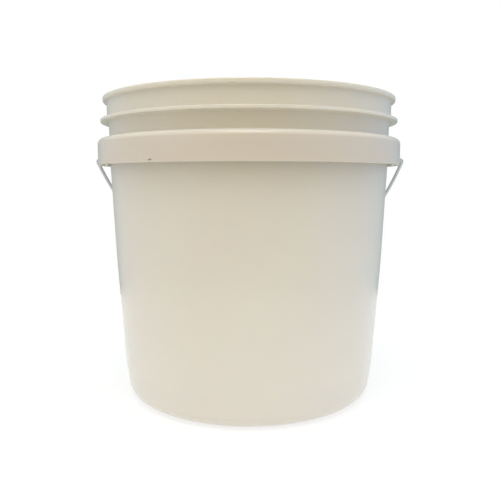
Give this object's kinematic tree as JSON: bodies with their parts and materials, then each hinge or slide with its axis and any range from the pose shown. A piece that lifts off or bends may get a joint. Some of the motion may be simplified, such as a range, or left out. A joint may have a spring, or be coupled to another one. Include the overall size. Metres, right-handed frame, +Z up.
{
  "type": "fermenting bucket",
  "caption": "Open round plastic pail with a lid ring, a skirt band and a swinging wire bail with a carrying grip, for fermenting and carrying liquids.",
  "frame": {"origin": "centre of the base, on the plane the pail stands on", "axes": "+Z up along the pail's axis; the bail turns about an axis along X and hangs behind the pail, on the +Y side; -Y is the front"},
  "size_m": [0.2586, 0.2507, 0.24],
  "materials": {
    "natural_hdpe": "smooth natural polyethylene, slightly cloudy",
    "galvanised_wire": "drawn and galvanised",
    "grip_plastic": "moulded, fine texture"
  },
  "bodies": {
    "pail": {"pail": "natural_hdpe"},
    "bail": {"bail_wire": "galvanised_wire"},
    "grip": {"bail_grip": "grip_plastic"}
  },
  "joints": [
    {"name": "bail_swing", "type": "hinge", "parent": "pail", "child": "bail", "pos_m": [0, 0, 0.1934], "axis": [1, 0, 0], "range_deg": [0, 251]},
    {"name": "grip_spin", "type": "hinge", "parent": "bail", "child": "grip", "pos_m": [0, 0.11865, 0.10836], "axis": [1, 0, 0], "continuous": true}
  ]
}
